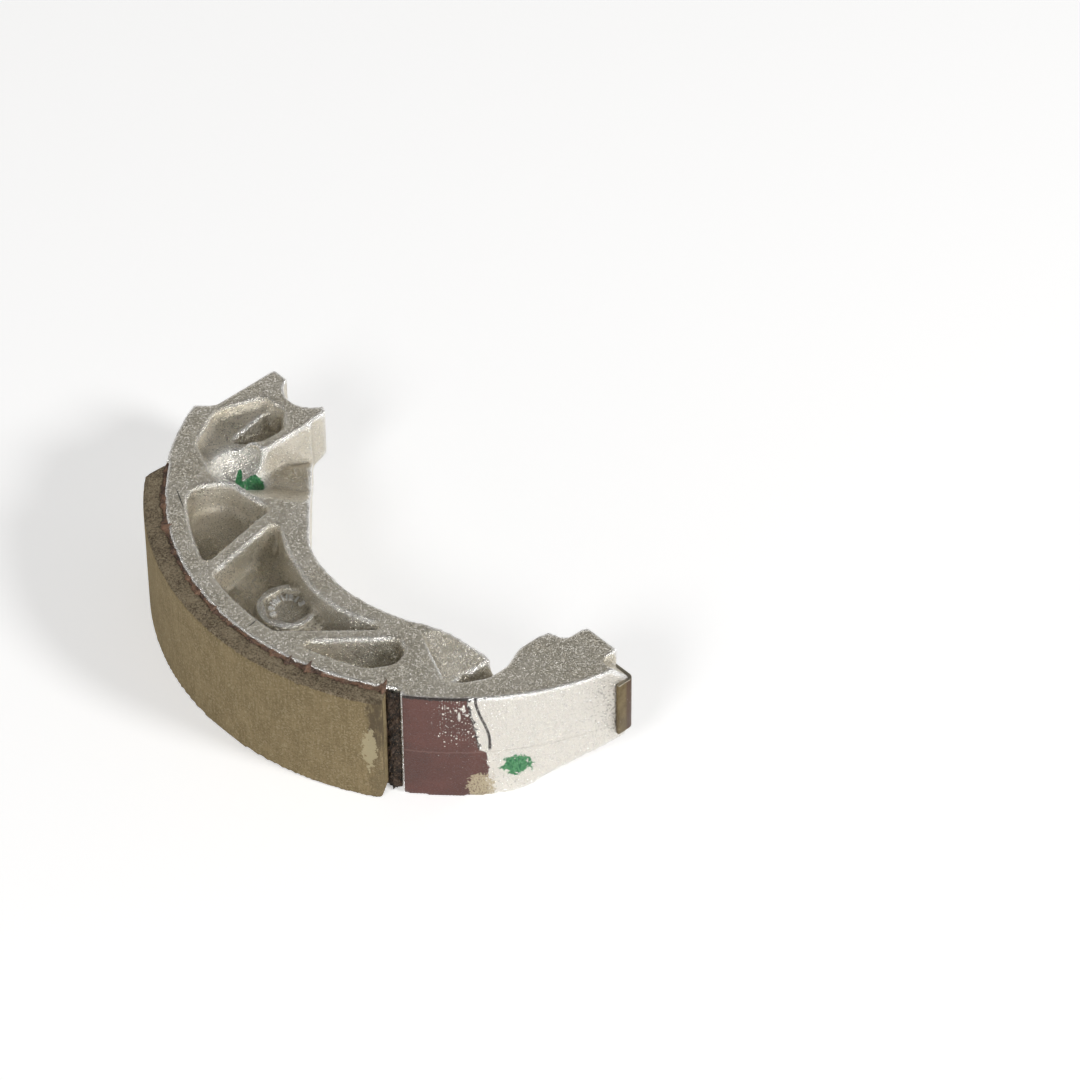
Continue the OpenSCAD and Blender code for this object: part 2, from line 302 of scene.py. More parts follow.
def new_group(name, inputs, outputs):
    tree = bpy.data.node_groups.new(name, "ShaderNodeTree")
    for socket, kind, value in inputs:
        made = tree.interface.new_socket(name=socket, in_out="INPUT", socket_type=kind)
        if value is not None:
            made.default_value = value
    for socket, kind in outputs:
        tree.interface.new_socket(name=socket, in_out="OUTPUT", socket_type=kind)
    entry = tree.nodes.new("NodeGroupInput")
    leave = tree.nodes.new("NodeGroupOutput")
    return tree, entry, leave


# Where a point is round the drum axis, in degrees from the middle of the lining, and its radius
around_drum, entry, leave = new_group(
    "around_drum",
    [("Place", "NodeSocketVector", None)],
    [("Angle", "NodeSocketFloat"), ("Radius", "NodeSocketFloat"), ("Height", "NodeSocketFloat")],
)
bench = Bench(around_drum)
x, y, z = bench.split(entry.outputs["Place"])
turn = bench.sum_of("ARCTAN2", bench.times(y, -1.0), bench.times(x, -1.0))
bench.links.new(bench.times(turn, 57.2958), leave.inputs["Angle"])
radius = bench.sum_of("SQRT", bench.plus(bench.times(x, x), bench.times(y, y)))
bench.links.new(radius, leave.inputs["Radius"])
bench.links.new(z, leave.inputs["Height"])

# A dab of brushed paint: an oval spot with a ragged edge, 1 inside and 0 outside
paint_dab, entry, leave = new_group(
    "paint_dab",
    [
        ("Across", "NodeSocketFloat", 0.0), ("Up", "NodeSocketFloat", 0.0),
        ("Half Width", "NodeSocketFloat", 1.0), ("Half Height", "NodeSocketFloat", 1.0),
        ("Place", "NodeSocketVector", None), ("Ragged", "NodeSocketFloat", 0.5),
    ],
    [("Mask", "NodeSocketFloat")],
)
bench = Bench(paint_dab)
across = bench.sum_of("DIVIDE", entry.outputs["Across"], entry.outputs["Half Width"])
up = bench.sum_of("DIVIDE", entry.outputs["Up"], entry.outputs["Half Height"])
reach = bench.sum_of("SQRT", bench.plus(bench.times(across, across), bench.times(up, up)))
tear = bench.minus(bench.cloud(entry.outputs["Place"], 0.9, 5, 0.65, 0.6), 0.5)
reach = bench.plus(reach, bench.times(tear, entry.outputs["Ragged"]))
bench.links.new(bench.between(reach, 1.03, 0.97), leave.inputs["Mask"])

# Fine cast skin: the height of its grain, the glints of single crystals, and the crystals' own tilt
cast_grain, entry, leave = new_group(
    "cast_grain",
    [
        ("Place", "NodeSocketVector", None), ("Grain Size", "NodeSocketFloat", 2.4),
        ("Tilt", "NodeSocketFloat", 0.5),
    ],
    [("Height", "NodeSocketFloat"), ("Glint", "NodeSocketFloat"), ("Normal", "NodeSocketVector")],
)
bench = Bench(cast_grain)
sized = bench.vectors("SCALE", entry.outputs["Place"], scale=entry.outputs["Grain Size"])
coarse = bench.cloud(sized, 1.0, 4, 0.7)
fine = bench.cells(sized, 1.45)
bench.links.new(bench.plus(coarse, bench.times(fine.outputs["Distance"], 0.35)), leave.inputs["Height"])
crystal = bench.split(fine.outputs["Color"])[0]
bench.links.new(bench.between(crystal, 0.72, 0.95), leave.inputs["Glint"])
lie = bench.vectors("SUBTRACT", fine.outputs["Color"], (0.5, 0.5, 0.5))
slant = bench.times(entry.outputs["Tilt"], bench.between(crystal, 0.35, 1.0, 0.25, 1.6))
lie = bench.vectors("SCALE", lie, scale=slant)
surface = bench.nodes.new("ShaderNodeNewGeometry").outputs["Normal"]
bench.links.new(bench.vectors("NORMALIZE", bench.vectors("ADD", surface, lie)), leave.inputs["Normal"])

cast_metal, nodes, links, shader = node_tree("cast_aluminium")
bench = Bench(cast_metal.node_tree)
place = bench.millimetres()
spot = bench.group(around_drum, {"Place": place})
angle, radius, height = spot.outputs["Angle"], spot.outputs["Radius"], spot.outputs["Height"]
grain = bench.group(cast_grain, {"Place": place, "Grain Size": 3.1, "Tilt": 0.68})

facing = nodes.new("ShaderNodeNewGeometry")
up_face = bench.split(facing.outputs["Normal"])[2]
ground = bench.times(bench.between(up_face, 0.93, 0.985), bench.between(height, 26.75, 26.9))
marks = bench.nodes.new("ShaderNodeAttribute")
marks.attribute_name = "hollow"
in_hollow = bench.between(marks.outputs["Fac"], 0.01, 0.09)
on_edge = bench.between(marks.outputs["Fac"], -0.02, -0.09)
raised = bench.between(marks.outputs["Fac"], -0.22, -0.28)

# The bare skin is darker on the pockets' floors, from dust and painted shade, and in their corners, from
# grime and painted shade. It is brighter on the turned rim, and painted highlights brighten the bowl round
# the spring hole, the edges and the crystals that catch the light
shoe_width = 27.0
bowl_at = (-28.4, 37.5, 0)
dull_skin, clean_skin, turned_skin = (0.66, 0.61, 0.50, 1), (0.77, 0.72, 0.62, 1), (0.80, 0.765, 0.70, 1)
dusty_shaded_floor, painted_bowl_highlight, crease_grime_and_shade = (0.36, 0.31, 0.22, 1), (0.93, 0.92, 0.89, 1), (0.22, 0.185, 0.125, 1)
glint, painted_edge_highlight = (0.98, 0.98, 0.97, 1), (0.98, 0.975, 0.96, 1)
blotch = bench.cloud(place, 0.11, 4, 0.6)
metal_colour = bench.colours(bench.between(blotch, 0.35, 0.68), dull_skin, clean_skin)
outer = bench.between(radius, 61.9, 62.2)
metal_colour = bench.colours(outer, metal_colour, turned_skin)
sunk = bench.sum_of("MINIMUM", height, bench.minus(shoe_width, height))
lies_flat = bench.between(bench.sum_of("ABSOLUTE", up_face), 0.5, 0.95)
# Dust and painted shade darken the level floors of the pockets, outside the bowl
floor_dust_and_shade = bench.times(bench.between(sunk, 1.5, 6.0), lies_flat)
x, y, z = bench.split(place)
from_bowl = bench.vectors("DISTANCE", bench.vectors("MULTIPLY", place, (1, 1, 0)), bowl_at)
in_bowl = bench.times(bench.between(from_bowl, 8.0, 5.0), bench.between(sunk, 0.6, 1.2))
floor_dust_and_shade = bench.times(floor_dust_and_shade, bench.minus(1.0, in_bowl))
metal_colour = bench.colours(bench.times(floor_dust_and_shade, 0.42), metal_colour, dusty_shaded_floor)
# A painted highlight brightens the bowl round the spring hole
metal_colour = bench.colours(bench.times(in_bowl, 0.7), metal_colour, painted_bowl_highlight)
# Grime and painted shade darken the corners and creases
metal_colour = bench.colours(bench.times(in_hollow, 0.6), metal_colour, crease_grime_and_shade)
metal_colour = bench.colours(bench.times(grain.outputs["Glint"], 0.4), metal_colour, glint)
# A painted highlight brightens the rounded edges
metal_colour = bench.colours(bench.times(on_edge, 0.85), metal_colour, painted_edge_highlight)

# Maroon primer on the turned rim beside the lining's end, scratched and chipped on its far side
ragged = bench.cloud(place, 0.8, 5, 0.62, 0.8)
fine_ragged = bench.cloud(place, 3.2, 4, 0.6)
primer_end = bench.plus(
    bench.between(height, shoe_width, 13.5, 49.3, 51.0),
    bench.between(height, 13.2, 11.6, 0.0, 1.6),
)
primer_end = bench.plus(primer_end, bench.swing(ragged, 3.0))
primer_end = bench.plus(primer_end, bench.swing(fine_ragged, 1.2))
primer_start = 37.3
primer = bench.times(
    bench.sum_of("LESS_THAN", angle, primer_end), bench.sum_of("GREATER_THAN", angle, primer_start)
)
primer = bench.times(primer, outer)
chip_field = bench.times(
    bench.between(angle, 40.0, 46.0, 0.12, 1.0), bench.between(height, 11.0, 19.0, 0.30, 1.0)
)


def spots(scale, size, field):
    """Round spots, or drips where the scale is stretched: more and larger as the field grows."""
    dots = bench.cells(bench.stretched(place, scale), 1.0)
    chance = bench.split(dots.outputs["Color"])[1]
    reach = bench.times(bench.minus(bench.sum_of("MULTIPLY_ADD", field, 0.8, chance), 0.88), size)
    return bench.between(bench.minus(dots.outputs["Distance"], reach), 0.0, -0.05)


chips = bench.most(spots((1.25, 1.25, 1.25), 0.5, chip_field), spots((2.6, 2.6, 2.6), 0.42, chip_field))
drips = bench.times(spots((1.3, 1.3, 0.28), 0.5, chip_field), bench.between(height, 19.5, 22.5))
chips = bench.most(chips, drips)

# The die's parting line shows as a fine ridge along the rim, through the primer and beyond it
parting_height = 12.25
line_height = bench.plus(parting_height, bench.swing(ragged, 0.9))
scored_line = bench.between(bench.apart(height, line_height), 0.22, 0.1)
dark_maroon, maroon = (0.10, 0.040, 0.031, 1), (0.135, 0.053, 0.042, 1)
primer_colour = bench.colours(bench.between(blotch, 0.35, 0.65), dark_maroon, maroon)
primer_colour = bench.colours(bench.times(scored_line, 0.7), primer_colour, (0.21, 0.115, 0.095, 1))
parting_line = bench.times(scored_line, bench.times(outer, 0.3))
metal_colour = bench.colours(parting_line, metal_colour, (0.50, 0.46, 0.39, 1))
primer_left = bench.times(primer, bench.minus(1.0, chips))

# A black line of dried adhesive round the bare wedge, and tan adhesive at the lower corner
wedge_edge = bench.plus(bench.between(height, shoe_width, 15.0, 50.6, 53.1), bench.swing(fine_ragged, 0.5))
far_line = bench.between(bench.apart(angle, wedge_edge), 0.34, 0.2)
near_line = bench.between(bench.apart(angle, primer_end), 0.3, 0.14)
black_line = bench.times(bench.most(far_line, near_line), bench.between(height, 12.4, 13.4))
black_line = bench.times(black_line, outer)
black_line = bench.times(black_line, bench.between(fine_ragged, 0.36, 0.44))
# A dark line along the rim's top edge over the primer is painted shade
top_edge = bench.sum_of("MULTIPLY_ADD", fine_ragged, 1.1, height)
primer_edge_shade = bench.times(primer, bench.between(top_edge, 27.05, 27.2))
black_line = bench.most(black_line, primer_edge_shade)
tan_dab = bench.group(
    paint_dab,
    {
        "Across": bench.minus(angle, 51.3), "Up": bench.minus(height, 2.6),
        "Half Width": 2.5, "Half Height": 3.6, "Place": place, "Ragged": 1.5,
    },
)
tan_dab = bench.times(tan_dab.outputs["Mask"], outer)

# Green paint: a dab on the rim, and a stroke that runs through the bowl into the spring hole
rim_dab = bench.group(
    paint_dab,
    {
        "Across": bench.minus(angle, 58.0), "Up": bench.minus(height, 7.9),
        "Half Width": 2.7, "Half Height": 2.5, "Place": place, "Ragged": 2.1,
    },
)
hole_dab = bench.group(
    paint_dab,
    {
        "Across": bench.minus(x, -27.3), "Up": bench.minus(y, 34.2),
        "Half Width": 2.7, "Half Height": 2.1, "Place": place, "Ragged": 1.1,
    },
)


def streak(start, end, half_width, ragged):
    """A thin stroke between two points of the plan, in millimetres."""
    start, end = Vector(start), Vector(end)
    centre, run = (start + end) / 2, (end - start).normalized()
    from_x, from_y = bench.minus(x, centre.x), bench.minus(y, centre.y)
    along = bench.sum_of("MULTIPLY_ADD", from_x, run.x, bench.times(from_y, run.y))
    aside = bench.sum_of("MULTIPLY_ADD", from_x, -run.y, bench.times(from_y, run.x))
    return bench.group(paint_dab, {
        "Across": along, "Up": aside, "Half Width": (end - start).length / 2, "Half Height": half_width,
        "Place": place, "Ragged": ragged,
    }).outputs["Mask"]


brushed = bench.most(
    streak((-26.4, 38.9), (-29.1, 36.6), 0.6, 0.9), streak((-28.8, 37.6), (-28.0, 34.6), 0.7, 0.9))
below_top = bench.between(height, 25.8, 25.2)
crack = bench.most(
    streak((-58.9, -2.2), (-56.4, -1.8), 0.16, 0.5), streak((-43.4, 38.7), (-45.9, 33.5), 0.12, 0.6))
crack = bench.times(crack, bench.between(height, 26.3, 26.6))
green = bench.times(bench.most(hole_dab.outputs["Mask"], brushed), below_top)
green = bench.most(green, bench.times(rim_dab.outputs["Mask"], outer))
streaks = bench.cloud(bench.stretched(place, (1.6, 1.6, 0.7), (0.3, 0.2, 0.6)), 1.6, 4, 0.6)
deep_green, thin_green = (0.012, 0.14, 0.05, 1), (0.09, 0.33, 0.13, 1)
green_colour = bench.colours(bench.between(streaks, 0.35, 0.68), deep_green, thin_green)

colour = bench.colours(primer_left, metal_colour, primer_colour)
tan_cover = bench.times(tan_dab, bench.between(fine_ragged, 0.36, 0.5, 0.15, 1.0))
colour = bench.colours(tan_cover, colour, (0.50, 0.42, 0.28, 1))
black_line = bench.most(black_line, crack)
colour = bench.colours(black_line, colour, (0.03, 0.022, 0.018, 1))
colour = bench.colours(green, colour, green_colour)
links.new(colour, shader.inputs["Base Color"])

painted = bench.most(bench.most(primer_left, tan_dab), bench.most(black_line, green))
bare = bench.times(bench.minus(1.0, painted), 0.92)
links.new(bench.times(bare, bench.sum_of("MULTIPLY_ADD", raised, -0.6, 1.0)), shader.inputs["Metallic"])
bare_rough = bench.between(blotch, 0.3, 0.7, 0.26, 0.34)
bare_rough = bench.minus(bare_rough, bench.times(grain.outputs["Glint"], 0.1))
bare_rough = bench.sum_of("MULTIPLY_ADD", on_edge, -0.07, bare_rough)
roughness = bench.sum_of("MULTIPLY_ADD", painted, 0.16, bare_rough)
links.new(roughness, shader.inputs["Roughness"])

# Grinding lines on the upper face, and a finer grain there and under the paint
lines = bench.cloud(bench.stretched(place, (0.35, 5.0, 1.0), (0, 0, 0.55)), 1.0, 3, 0.6)
line_depth = bench.times(bench.times(lines, ground), 0.35)
grain_depth = bench.times(
    grain.outputs["Height"],
    bench.minus(1.0, bench.times(bench.most(ground, painted), 0.55)),
)
relief = bench.plus(grain_depth, line_depth)
relief = bench.plus(relief, bench.times(painted, 0.25))
links.new(bench.bump(relief, 0.00022, 1.0, grain.outputs["Normal"]), shader.inputs["Normal"])

# Raised in the die with the boss: a thin hexagon round its sunken middle, and the numbers of a dial
boss_at, boss_floor, boss_top = Vector((-46.3, 0.8)), 21.5, 22.5
number_ring = 3.2
stamp = bmesh.new()


def in_metres(plan, level):
    """The place of a point of the plan at one height, both given in millimetres."""
    return Vector((plan.x, plan.y, level)) / 1000


hexagon = bmesh.ops.create_circle(stamp, cap_ends=True, segments=6, radius=0.0053)["verts"]
bmesh.ops.rotate(stamp, verts=hexagon, matrix=Matrix.Rotation(math.radians(-5), 3, "Z"))
bmesh.ops.translate(stamp, verts=hexagon, vec=in_metres(boss_at, boss_top))
bmesh.ops.inset_region(stamp, faces=stamp.faces[:], thickness=0.00042)
bmesh.ops.delete(stamp, geom=[face for face in stamp.faces if len(face.verts) == 6], context="FACES_ONLY")
ring = bmesh.ops.extrude_face_region(stamp, geom=stamp.faces[:])["geom"]
ring_top = [item for item in ring if isinstance(item, bmesh.types.BMVert)]
bmesh.ops.translate(stamp, verts=ring_top, vec=(0, 0, 0.0004))
bmesh.ops.recalc_face_normals(stamp, faces=stamp.faces)
bmesh.ops.bevel(
    stamp, geom=stamp.edges[:], offset=0.00008, offset_type="OFFSET", affect="EDGES", segments=2,
    profile=0.5, material=-1,
)
for number, turn in zip(("8", "9", "10", "11", "12", "1", "2"), range(165, -30, -30)):
    writing = bpy.data.curves.new("number", "FONT")
    writing.body, writing.align_x, writing.align_y = number, "CENTER", "CENTER"
    writing.size, writing.offset = 0.0018, 0.00004
    writing.extrude, writing.bevel_depth = 0.0003, 0.00005
    holder = bpy.data.objects.new("number", writing)
    bpy.context.scene.collection.objects.link(holder)
    shape = bpy.data.meshes.new_from_object(holder.evaluated_get(bpy.context.evaluated_depsgraph_get()))
    away = Vector((math.cos(math.radians(turn)), math.sin(math.radians(turn))))
    upright = Matrix.Rotation(math.radians(turn - 90), 4, "Z")
    shape.transform(Matrix.Translation(in_metres(boss_at + number_ring * away, boss_floor)) @ upright)
    stamp.from_mesh(shape)
    bpy.data.objects.remove(holder)

# Two hoops and two rings of dots under the cam end, cast by the die's round date plug
plug_at, plug_level = Vector((-24.0, -48.0)), 9.8
for size in (3.7, 2.3):
    hoop = bmesh.ops.create_circle(stamp, segments=6, radius=0.00017)["verts"]
    bmesh.ops.rotate(stamp, verts=hoop, matrix=Matrix.Rotation(math.radians(90), 3, "X"))
    bmesh.ops.translate(stamp, verts=hoop, vec=in_metres(plug_at + Vector((size, 0)), plug_level))
    bmesh.ops.spin(
        stamp, geom=hoop + list({edge for point in hoop for edge in point.link_edges}),
        cent=in_metres(plug_at, 0), axis=(0, 0, 1), angle=math.tau, steps=40, use_merge=True,
    )
for size, count in ((3.0, 12), (1.2, 4)):
    for turn in range(count):
        dot = bmesh.ops.create_icosphere(stamp, subdivisions=1, radius=0.00028)["verts"]
        away = size * Vector((math.cos(math.tau * turn / count), math.sin(math.tau * turn / count)))
        bmesh.ops.translate(stamp, verts=dot, vec=in_metres(plug_at + away, plug_level))
bmesh.ops.recalc_face_normals(stamp, faces=stamp.faces)

# They were cast with the shoe, so they join its mesh, marked as its most raised skin
# The mark gives the stamp the painted edge highlight and a less metallic, whiter skin, so that it reads
# bright
most_raised = -0.3
stamp_mesh = bpy.data.meshes.new("stamp")
stamp.to_mesh(stamp_mesh)
whole = bmesh.new()
whole.from_mesh(casting.data)
lean_layer = whole.verts.layers.float["hollow"]
cast_points = set(whole.verts)
whole.from_mesh(stamp_mesh)
for point in set(whole.verts) - cast_points:
    point[lean_layer] = most_raised
for face in whole.faces:
    face.smooth = True
whole.to_mesh(casting.data)
whole.free()
stamp.free()

casting.data.materials.clear()
casting.data.materials.append(cast_metal)
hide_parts("shoe_casting")
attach(casting, "root")


# Friction lining
# A moulded block of friction compound, ground to the drum's radius. Its outer face is an even
# speckled olive brown, its edges are broken and crumbled, and its ends are scorched.

lining_end, lining_top, lining_radius = 33.9, 26.4, 65
edge_reach, corner_round = 0.9, 1.8
lining = merged_copy("friction_lining", "lining")
shape = bmesh.new()
shape.from_mesh(lining.data)
bmesh.ops.dissolve_limit(shape, angle_limit=0.02, verts=shape.verts, edges=shape.edges)
shape.to_mesh(lining.data)
shape.free()
block = lining.modifiers.new("block", "REMESH")
block.mode = "VOXEL"
block.voxel_size = 0.00042
block.use_smooth_shade = True
worn = lining.modifiers.new("worn", "SMOOTH")
worn.factor = 0.5
worn.iterations = 2
apply_modifiers(lining)
shape = bmesh.new()
shape.from_mesh(lining.data)
for point in shape.verts:
    here = point.co * 1000
    reach = math.hypot(here.x, here.y)
    # How near the point is to the block's top edge or its lower edge
    to_level = min(abs(here.z - lining_top), abs(here.z))
    to_face = abs(reach - lining_radius)
    edge = max(0.0, 1.0 - to_level / edge_reach) * max(0.0, 1.0 - to_face / edge_reach)
    sink = 0.00003 * noise.noise(here * 2.2)
    if edge > 0:
        crumble = noise.fractal(here * 1.4, 0.7, 2.2, 4, noise_basis="PERLIN_ORIGINAL") - 0.05
        sink += (0.0007 if here.z > 13 else 0.0002) * edge * max(0.0, crumble)
    point.co -= point.normal * sink
    # The lower corner of the scorched end is rounded off
    from_end = (lining_end - math.degrees(math.atan2(-here.y, -here.x))) * math.tau * lining_radius / 360
    if here.z < corner_round and from_end < corner_round:
        off = Vector((corner_round - from_end, corner_round - here.z))
        if off.length > corner_round:
            back = off * (1 - corner_round / off.length)
            point.co.z += back.y / 1000
            point.co.xy = Matrix.Rotation(-back.x / reach, 2) @ point.co.xy
shape.to_mesh(lining.data)
shape.free()

compound_speckle, entry, leave = new_group(
    "compound_speckle",
    [
        ("Place", "NodeSocketVector", None), ("Base", "NodeSocketColor", None),
        ("Dark", "NodeSocketColor", None), ("Light", "NodeSocketColor", None),
    ],
    [("Colour", "NodeSocketColor"), ("Height", "NodeSocketFloat")],
)
bench = Bench(compound_speckle)
broad = bench.cloud(entry.outputs["Place"], 0.22, 5, 0.68)
grit = bench.cloud(entry.outputs["Place"], 2.6, 4, 0.75)
flecks = bench.cells(entry.outputs["Place"], 3.1)
fleck_tone = bench.split(flecks.outputs["Color"])[1]
tint = bench.colours(bench.between(broad, 0.36, 0.64), entry.outputs["Base"], entry.outputs["Dark"])
tint = bench.colours(bench.between(grit, 0.42, 0.60), tint, entry.outputs["Base"])
tint = bench.colours(bench.times(bench.between(grit, 0.47, 0.36), 0.75), tint, entry.outputs["Dark"])
tint = bench.colours(bench.times(bench.between(fleck_tone, 0.82, 0.88), 0.42), tint, entry.outputs["Light"])
tint = bench.colours(bench.times(bench.between(fleck_tone, 0.16, 0.10), 0.55), tint, entry.outputs["Dark"])
drawn = bench.cloud(bench.stretched(entry.outputs["Place"], (1.7, 1.7, 0.16)), 1.0, 4, 0.7, 0.4)
tint = bench.colours(bench.times(bench.between(drawn, 0.50, 0.64), 0.45), tint, entry.outputs["Dark"])
tint = bench.colours(bench.times(bench.between(drawn, 0.46, 0.34), 0.16), tint, entry.outputs["Light"])
bench.links.new(tint, leave.inputs["Colour"])
bench.links.new(bench.plus(grit, bench.times(flecks.outputs["Distance"], 0.3)), leave.inputs["Height"])

compound, nodes, links, shader = node_tree("friction_compound")
bench = Bench(compound.node_tree)
place = bench.millimetres()
spot = bench.group(around_drum, {"Place": place})
angle, radius, height = spot.outputs["Angle"], spot.outputs["Radius"], spot.outputs["Height"]
face = bench.group(
    compound_speckle,
    {
        "Place": place, "Base": (0.325, 0.25, 0.135, 1), "Dark": (0.215, 0.165, 0.085, 1),
        "Light": (0.48, 0.40, 0.25, 1),
    },
)
side = bench.group(
    compound_speckle,
    {
        "Place": place, "Base": (0.36, 0.29, 0.19, 1), "Dark": (0.11, 0.082, 0.052, 1),
        "Light": (0.50, 0.42, 0.29, 1),
    },
)
facing = nodes.new("ShaderNodeNewGeometry")
up_face = bench.split(facing.outputs["Normal"])[2]
rim_noise = bench.cloud(place, 0.9, 5, 0.65)
lies_flat = bench.plus(bench.sum_of("ABSOLUTE", up_face), bench.swing(rim_noise, 0.5))
on_side = bench.between(lies_flat, 0.38, 0.55)
colour = bench.colours(on_side, face.outputs["Colour"], side.outputs["Colour"])

# Scorched strip at the cam-side end, with pale dried adhesive in its middle
end_line = bench.plus(30.9, bench.swing(rim_noise, 4.0))
scorched = bench.between(angle, end_line, bench.plus(end_line, 1.0))
scorched = bench.times(scorched, bench.between(radius, 63.0, 64.2))
scorch_depth = bench.times(scorched, bench.between(height, 9.0, 19.0, 0.35, 0.9))
char = bench.cloud(bench.stretched(place, (1.2, 1.2, 0.35)), 1.0, 4, 0.65)
scorch_depth = bench.times(scorch_depth, bench.between(char, 0.36, 0.52, 0.35, 1.0))
scorch, dried_glue = (0.105, 0.08, 0.05, 1), (0.50, 0.43, 0.27, 1)
colour = bench.colours(scorch_depth, colour, scorch)
pale_dab = bench.group(
    paint_dab,
    {
        "Across": bench.minus(angle, 31.6), "Up": bench.minus(height, 13.4),
        "Half Width": 1.35, "Half Height": 5.2, "Place": place, "Ragged": 2.6,
    },
)
pale = bench.times(pale_dab.outputs["Mask"], bench.between(radius, 63.5, 64.6))
colour = bench.colours(bench.times(pale, 0.85), colour, dried_glue)
links.new(colour, shader.inputs["Base Color"])
shader.inputs["Roughness"].default_value = 0.88
shader.inputs["Specular IOR Level"].default_value = 0.3
turned = bench.cloud(bench.stretched(place, (0.25, 0.25, 5.0)), 1.0, 3, 0.6)
relief = bench.plus(face.outputs["Height"], bench.times(turned, 0.35))
relief = bench.times(relief, bench.plus(1.0, bench.times(on_side, 1.6)))
links.new(bench.bump(relief, 0.0002), shader.inputs["Normal"])

lining.data.materials.clear()
lining.data.materials.append(compound)
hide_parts("friction_lining")
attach(lining, "root")


# Adhesive
# The film that bonds the lining to the rim. It squeezed out along both seams as a crumbly
# reddish brown bead and lies charred in the groove behind the lining's end.

seam_start, seam_end, groove_end = 130.0, 214.0, 216.7
seam_radius, seat_radius = 60.70, 60.5
film = bmesh.new()


def lumps(here, scale):
    return noise.fractal(here * scale, 0.8, 2.1, 5, noise_basis="PERLIN_ORIGINAL")


def swept(profile, start, end, steps):
    """Sweeps a closed outline of (radius, height) points round the drum axis and caps its ends."""
    first = film.verts.new((0, 0, 0))
    ring = [first] + [film.verts.new((0, 0, 0)) for spare in profile[1:]]
    for point, (reach, height) in zip(ring, profile):
        point.co = Matrix.Rotation(math.radians(start), 3, "Z") @ Vector((reach, 0, height)) / 1000
    loop = [film.edges.new((ring[at - 1], ring[at])) for at in range(len(ring))]
    before = set(film.verts) - set(ring)
    bmesh.ops.spin(
        film, geom=ring + loop, cent=(0, 0, 0), axis=(0, 0, 1), angle=math.radians(end - start),
        steps=steps,
    )
    bmesh.ops.holes_fill(film, edges=[edge for edge in film.edges if edge.is_boundary], sides=0)
    return set(film.verts) - before


# Where a bigger lump came out: its turn round the drum axis, its half width and how far it spread
big_lumps = [
    (139.4, 0.8, 1.2), (142.3, 1.0, 1.7), (148.1, 1.2, 1.4), (155.5, 0.8, 0.6), (167.5, 1.0, 1.5),
    (173.8, 1.1, 1.8), (185.1, 0.9, 1.4), (190.4, 1.3, 1.6), (193.6, 0.9, 1.8), (198.2, 1.4, 1.5),
    (205.0, 1.2, 0.7), (209.5, 1.2, 1.0), (213.4, 1.3, 1.9),
]


def squeeze_out(level, rise_by, steps):
    """A crumbly bead of adhesive along the seam at one height, thick in some places and thin in others."""
    outline = []
    for turn in range(0, 181, 20):
        outline.append((seam_radius + math.cos(math.radians(turn)), level + math.sin(math.radians(turn))))
    outline += [(seam_radius - 0.25, level - 0.35), (seam_radius + 0.25, level - 0.35)]
    for point in swept(outline, seam_start + 0.3, seam_end, steps):
        turn = math.atan2(point.co.y, point.co.x)
        turn += math.tau if turn < 0 else 0
        degrees = math.degrees(turn)
        here = Vector((degrees * 1.06, level, 0))
        width = max(0.10, 0.40 + 0.50 * max(-0.5, lumps(here, 0.55)) + 0.25 * lumps(here, 2.3))
        further = here + Vector((9, 3, 0))
        rise = max(0.04, 0.22 + 0.36 * max(-0.4, lumps(further, 0.8)) + 0.14 * lumps(here, 3.1))
        spread = sum(size * math.exp(-(((degrees - at) / half) ** 2)) for at, half, size in big_lumps)
        spread *= 1 + 0.8 * lumps(here + Vector((0, 7, 0)), 1.5)
        rise += 0.16 * spread
        reach, height = math.hypot(point.co.x, point.co.y) * 1000, point.co.z * 1000
        if abs(height - level) < 1.01 and (height - level) > -0.01:
            outward = reach - seam_radius
            reach = seam_radius + outward * (width + 0.4 * spread if outward > 0 else 0.8 * width + spread)
            height = level + (height - level) * rise * rise_by
        point.co = Vector((reach * math.cos(turn), reach * math.sin(turn), height)) / 1000


swept([(60.81, 0.35), (60.81, 26.05), (60.54, 26.05), (60.54, 0.35)], seam_start, seam_end, 84)
squeeze_out(26.45, 1.0, 520)

# Charred adhesive in the groove, as a lumpy slab from the seat up to near the rim's surface
char_limit = 62.6
slab = bmesh.ops.create_grid(film, x_segments=16, y_segments=110, size=0.5)["verts"]
for point in slab:
    across, along = point.co.x + 0.5, point.co.y + 0.5
    turn = seam_end - 0.15 + (groove_end - seam_end + 0.1) * across
    height = 0.25 + 26.3 * along
    here = Vector((turn * 1.1, height, 4.0))
    crown = math.sin(math.pi * across) ** 0.5
    reach = seat_radius + crown * max(0.1, 0.85 + 1.3 * lumps(here, 0.5) + 0.6 * lumps(here, 1.7))
    reach = min(reach, char_limit)
    bearing = math.radians(turn)
    point.co = Vector((reach * math.cos(bearing), reach * math.sin(bearing), height)) / 1000
slab_edges = [edge for edge in film.edges if edge.is_boundary]
skirt = bmesh.ops.extrude_edge_only(film, edges=slab_edges)["geom"]
for item in skirt:
    if isinstance(item, bmesh.types.BMVert):
        item.co.x, item.co.y = item.co.x * 60.4 / 60.5, item.co.y * 60.4 / 60.5
bmesh.ops.holes_fill(film, edges=[edge for edge in film.edges if edge.is_boundary], sides=0)
bmesh.ops.recalc_face_normals(film, faces=film.faces)
for face in film.faces:
    face.smooth = True

adhesive = bpy.data.objects.new("adhesive", bpy.data.meshes.new("adhesive"))
film.to_mesh(adhesive.data)
film.free()
bpy.context.scene.collection.objects.link(adhesive)

